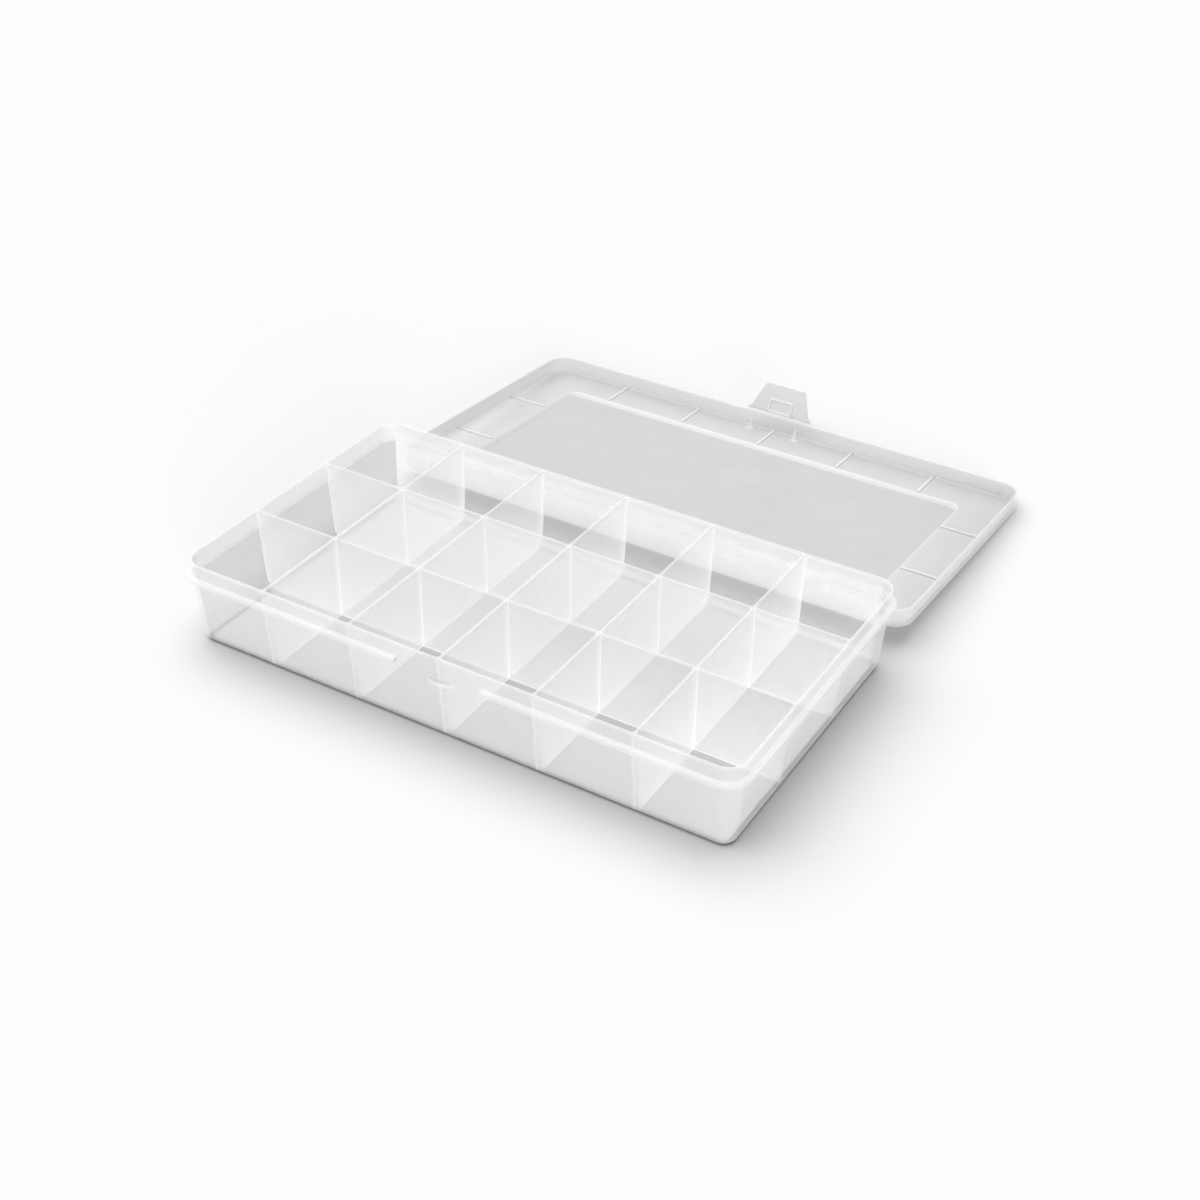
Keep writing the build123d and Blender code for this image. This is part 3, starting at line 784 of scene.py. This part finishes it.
def slab(shape, thick, middle, edge, order=(2, 0, 1)):
    """A flat plate from a closed outline: rings of the outline, drawn in along their normals near
    both faces, by a quarter circle of the depth, so that the long edges are rounded. The order
    says which of the outline's two coordinates and the depth gives X, Y and Z."""
    forward = np.roll(shape, -1, 0) - np.roll(shape, 1, 0)
    normal = np.stack((forward[:, 1], -forward[:, 0]), 1)
    tiny = 1e-9
    normal /= np.linalg.norm(normal, axis=1, keepdims=True) + tiny
    following = np.roll(shape, -1, 0)
    normal *= np.sign(np.sum(shape[:, 0] * following[:, 1] - following[:, 0] * shape[:, 1]))
    turn = np.radians(np.linspace(0, 90, 4))
    inward, sideways = edge * (1 - np.sin(turn)), thick / 2 - edge * (1 - np.cos(turn))
    draw = np.concatenate((inward, inward[::-1]))
    depth = np.concatenate((-sideways, sideways[::-1]))
    ring = shape[None] - normal[None] * draw[:, None, None]
    level = np.broadcast_to(middle + depth[:, None], ring.shape[:2])
    axes = (ring[..., 0], ring[..., 1], level)
    return np.stack([axes[number] for number in order], -1)


ear_shape = np.concatenate((
    arc((hinge_y, hinge_z), ear_round, -90, 20, 14),
    [(ear_out, ear_high), (ear_in, ear_high)],
    [(rim_half_y - wall_face(ear_low) - ear_root, ear_low)],
))
ear_grids = [
    slab(ear_shape, ear_wide, side * hinge_middle + end * (pin_half + ear_wide / 2), ear_edge)
    for side in (-1, 1) for end in (-1, 1)
]
ears = skin("hinge_ears", ear_grids, [0.85] * 4)
hinge_plastic = frosted("hinge_plastic", 0.9, 0.95, 0.05, 0.30)
ears.data.materials.append(hinge_plastic)
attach(ears, "tray")
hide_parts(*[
    f"hinge_ear_{side}_{end}" for side in ("left", "right") for end in ("outer", "inner")
])

pin_turn = np.linspace(0, 2 * pi, pin_sides, endpoint=False)
pin_ends = pin_half + np.array([-0.5, -0.25, 0, ear_root])
pin_along = np.concatenate((-pin_ends[::-1], [0], pin_ends))
pin_ring = np.ones((len(pin_along), pin_sides))
pin_grids = [
    np.dstack((
        (side * hinge_middle + pin_along[:, None]) * pin_ring,
        (hinge_y + pin_round * np.cos(pin_turn)) * pin_ring,
        (hinge_z + pin_round * np.sin(pin_turn)) * pin_ring,
    ))
    for side in (-1, 1)
]
pins = skin("hinge_pins", pin_grids, [0.7] * 2)
pins.data.materials.append(hinge_plastic)
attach(pins, "tray")
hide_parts("hinge_pin_left", "hinge_pin_right")

# ---- Hinge knuckles -----------------------------------------------------------------------------
# Four hooks moulded on the lid's rear skirt, in the same plastic. Each has a bore open at the
# bottom and clips over a pin.
knuckle_round, bore_round, mouth_half = 3.0, 1.56, 1.2
knuckle_wide, knuckle_apart, knuckle_edge = 11.4, 7.5, 0.2

mouth_turn = degrees(asin(mouth_half / bore_round))
lip_turn = degrees(asin(mouth_half / knuckle_round))
knuckle_shape = np.concatenate((
    arc((hinge_y, hinge_z), knuckle_round, -90 + lip_turn, 28, 14),
    [(rim_half_y + skirt_out, skirt_low), (rim_half_y + skirt_in, skirt_low)],
    arc((hinge_y, hinge_z), knuckle_round, 190, 270 - lip_turn, 8),
    arc((hinge_y, hinge_z), bore_round, 270 - mouth_turn, -90 + mouth_turn, 24),
))
knuckle_places = [
    side * hinge_middle + end * knuckle_apart for side in (-1, 1) for end in (-1, 1)
]
knuckle_grids = [
    laid_open(slab(knuckle_shape, knuckle_wide, middle, knuckle_edge)) for middle in knuckle_places
]
knuckles = skin("hinge_knuckles", knuckle_grids, [1.0] * 4)
knuckles.data.materials.append(hinge_plastic)
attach(knuckles, "lid")
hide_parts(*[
    f"hinge_knuckle_{side}_{end}" for side in ("left", "right") for end in ("outer", "inner")
])

# ---- Latch web and tongue -----------------------------------------------------------------------
# The tongue hangs from the lid's front skirt on a thin web, all one moulding, and springs out a
# little. It is worked out hanging straight down and then splayed about the web's edge.
latch_y, latch_z, splay = -65.5, 29.4, radians(22.0)
web_half, web_thick, web_deep, web_edge = 16.4, 0.5, 1.2, 0.08
tongue_thick, tongue_edge = 1.2, 0.35
flare_half, neck_half, tip_half = 16.1, 13.8, 9.4
root_drop, neck_drop, tongue_long = 0.35, 2.1, 13.1
root_round, neck_round, tip_round = 0.4, 2.4, 1.2

web_shape = np.array([
    (-web_half, latch_y), (web_half, latch_y),
    (web_half, latch_y + web_deep), (-web_half, latch_y + web_deep),
])
web_grid = laid_open(slab(web_shape, web_thick, latch_z + web_thick / 2, web_edge, (0, 1, 2)))
web = skin("latch_hinge_web", [web_grid], [0.35])
web.data.materials.append(lid_bar)
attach(web, "lid")
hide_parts("latch_web")


def splayed(grid):
    """Points of the hanging tongue turned out by its splay and then carried open with the lid."""
    return laid_open(swung(grid, splay, (latch_y, latch_z)))


def rounded_polygon(corners, radii, steps=6):
    """Closed outline whose corners are rounded: each arc sweeps between the two sides' normals."""
    corners = np.asarray(corners, float)
    ahead = np.roll(corners, -1, 0) - corners
    ahead /= np.linalg.norm(ahead, axis=1, keepdims=True)
    behind = np.roll(ahead, 1, 0)
    cross = behind[:, 0] * ahead[:, 1] - behind[:, 1] * ahead[:, 0]
    turn = np.arctan2(cross, (behind * ahead).sum(1))
    radius = np.asarray(radii)[:, None]
    begin = corners - behind * radius * np.tan(np.abs(turn) / 2)[:, None]
    side = np.stack((-behind[:, 1], behind[:, 0]), 1) * np.sign(turn)[:, None]
    centre = begin + side * radius
    start = np.arctan2(-side[:, 1], -side[:, 0])
    sweep = start[:, None] + turn[:, None] * np.linspace(0, 1, steps + 1)
    ring = centre[:, None] + radius[:, None] * np.stack((np.cos(sweep), np.sin(sweep)), -1)
    return ring.reshape(-1, 2)


right_side = [
    (flare_half, latch_z - root_drop),
    (neck_half, latch_z - neck_drop),
    (tip_half, latch_z - tongue_long),
]
left_side, rounds = [(-x, z) for x, z in right_side], [root_round, neck_round, tip_round]
tongue_shape = rounded_polygon(left_side + right_side[::-1], rounds + rounds[::-1])
tongue_grid = slab(tongue_shape, tongue_thick, latch_y, tongue_edge, (0, 2, 1))
tongue_milk = np.array([0.42, 0.36, 0.24, 0.06, 0.06, 0.24, 0.36, 0.42])[:, None]
tongue = skin("latch_tongue_plate", [splayed(tongue_grid)], [tongue_milk])
# The tongue's grey tone, and its dark tone to bounced light, are painted shade.
tongue_sheet_painted_shade = frosted("tongue_sheet_painted_shade", 0.60, 0.8, 0.60, 0.60, 0.2, wall_tone=0.60)
tongue.data.materials.append(tongue_sheet_painted_shade)
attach(tongue, "latch")
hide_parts("latch_tongue")

# ---- Pocket frame -------------------------------------------------------------------------------
# A low rectangular bar on the tongue's inner face, moulded with it. It snaps over the catch on the
# tray, and shows whiter than the thin tongue, whose grey is painted shade.
pocket_half_x, pocket_half_z, bar, bar_tall = 4.7, 2.05, 1.2, 0.9
pocket_drop, corner_round, bar_soft, bar_root = 1.6, 0.7, 0.3, 0.3

pocket_middle = latch_z - pocket_drop - pocket_half_z
tongue_face = latch_y + tongue_thick / 2
pocket_reach = np.array((pocket_half_x, pocket_half_z)) + bar / 2 - corner_round
corner_turn = (np.arange(4)[:, None] - 1 + np.linspace(0, 1, 7)) * pi / 2
bar_path = (
    np.repeat(np.array([(1, -1), (1, 1), (-1, 1), (-1, -1)]) * pocket_reach, 7, 0),
    np.stack((np.cos(corner_turn).ravel(), np.sin(corner_turn).ravel()), 1),
    corner_round,
)
bar_section = np.concatenate((
    [(-bar / 2, -bar_root), (bar / 2, -bar_root)],
    arc((bar / 2 - bar_soft, bar_tall - bar_soft), bar_soft, 0, 90, 4),
    arc((-bar / 2 + bar_soft, bar_tall - bar_soft), bar_soft, 90, 180, 4),
))
bar_rings = carried(bar_path, bar_section).swapaxes(0, 1)
pocket_grid = np.stack((
    bar_rings[..., 0], tongue_face + bar_rings[..., 2], pocket_middle + bar_rings[..., 1],
), -1)
pocket_milk = np.where(bar_section[:, 1] > 0, 0.9, 0.5)
pocket = skin("pocket_bar", [splayed(pocket_grid)], [pocket_milk], loop=True)
pocket_plastic = frosted("pocket_plastic", 0.85, 0.95, 0.10, 0.10)
pocket.data.materials.append(pocket_plastic)
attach(pocket, "latch")
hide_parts("pocket_frame")
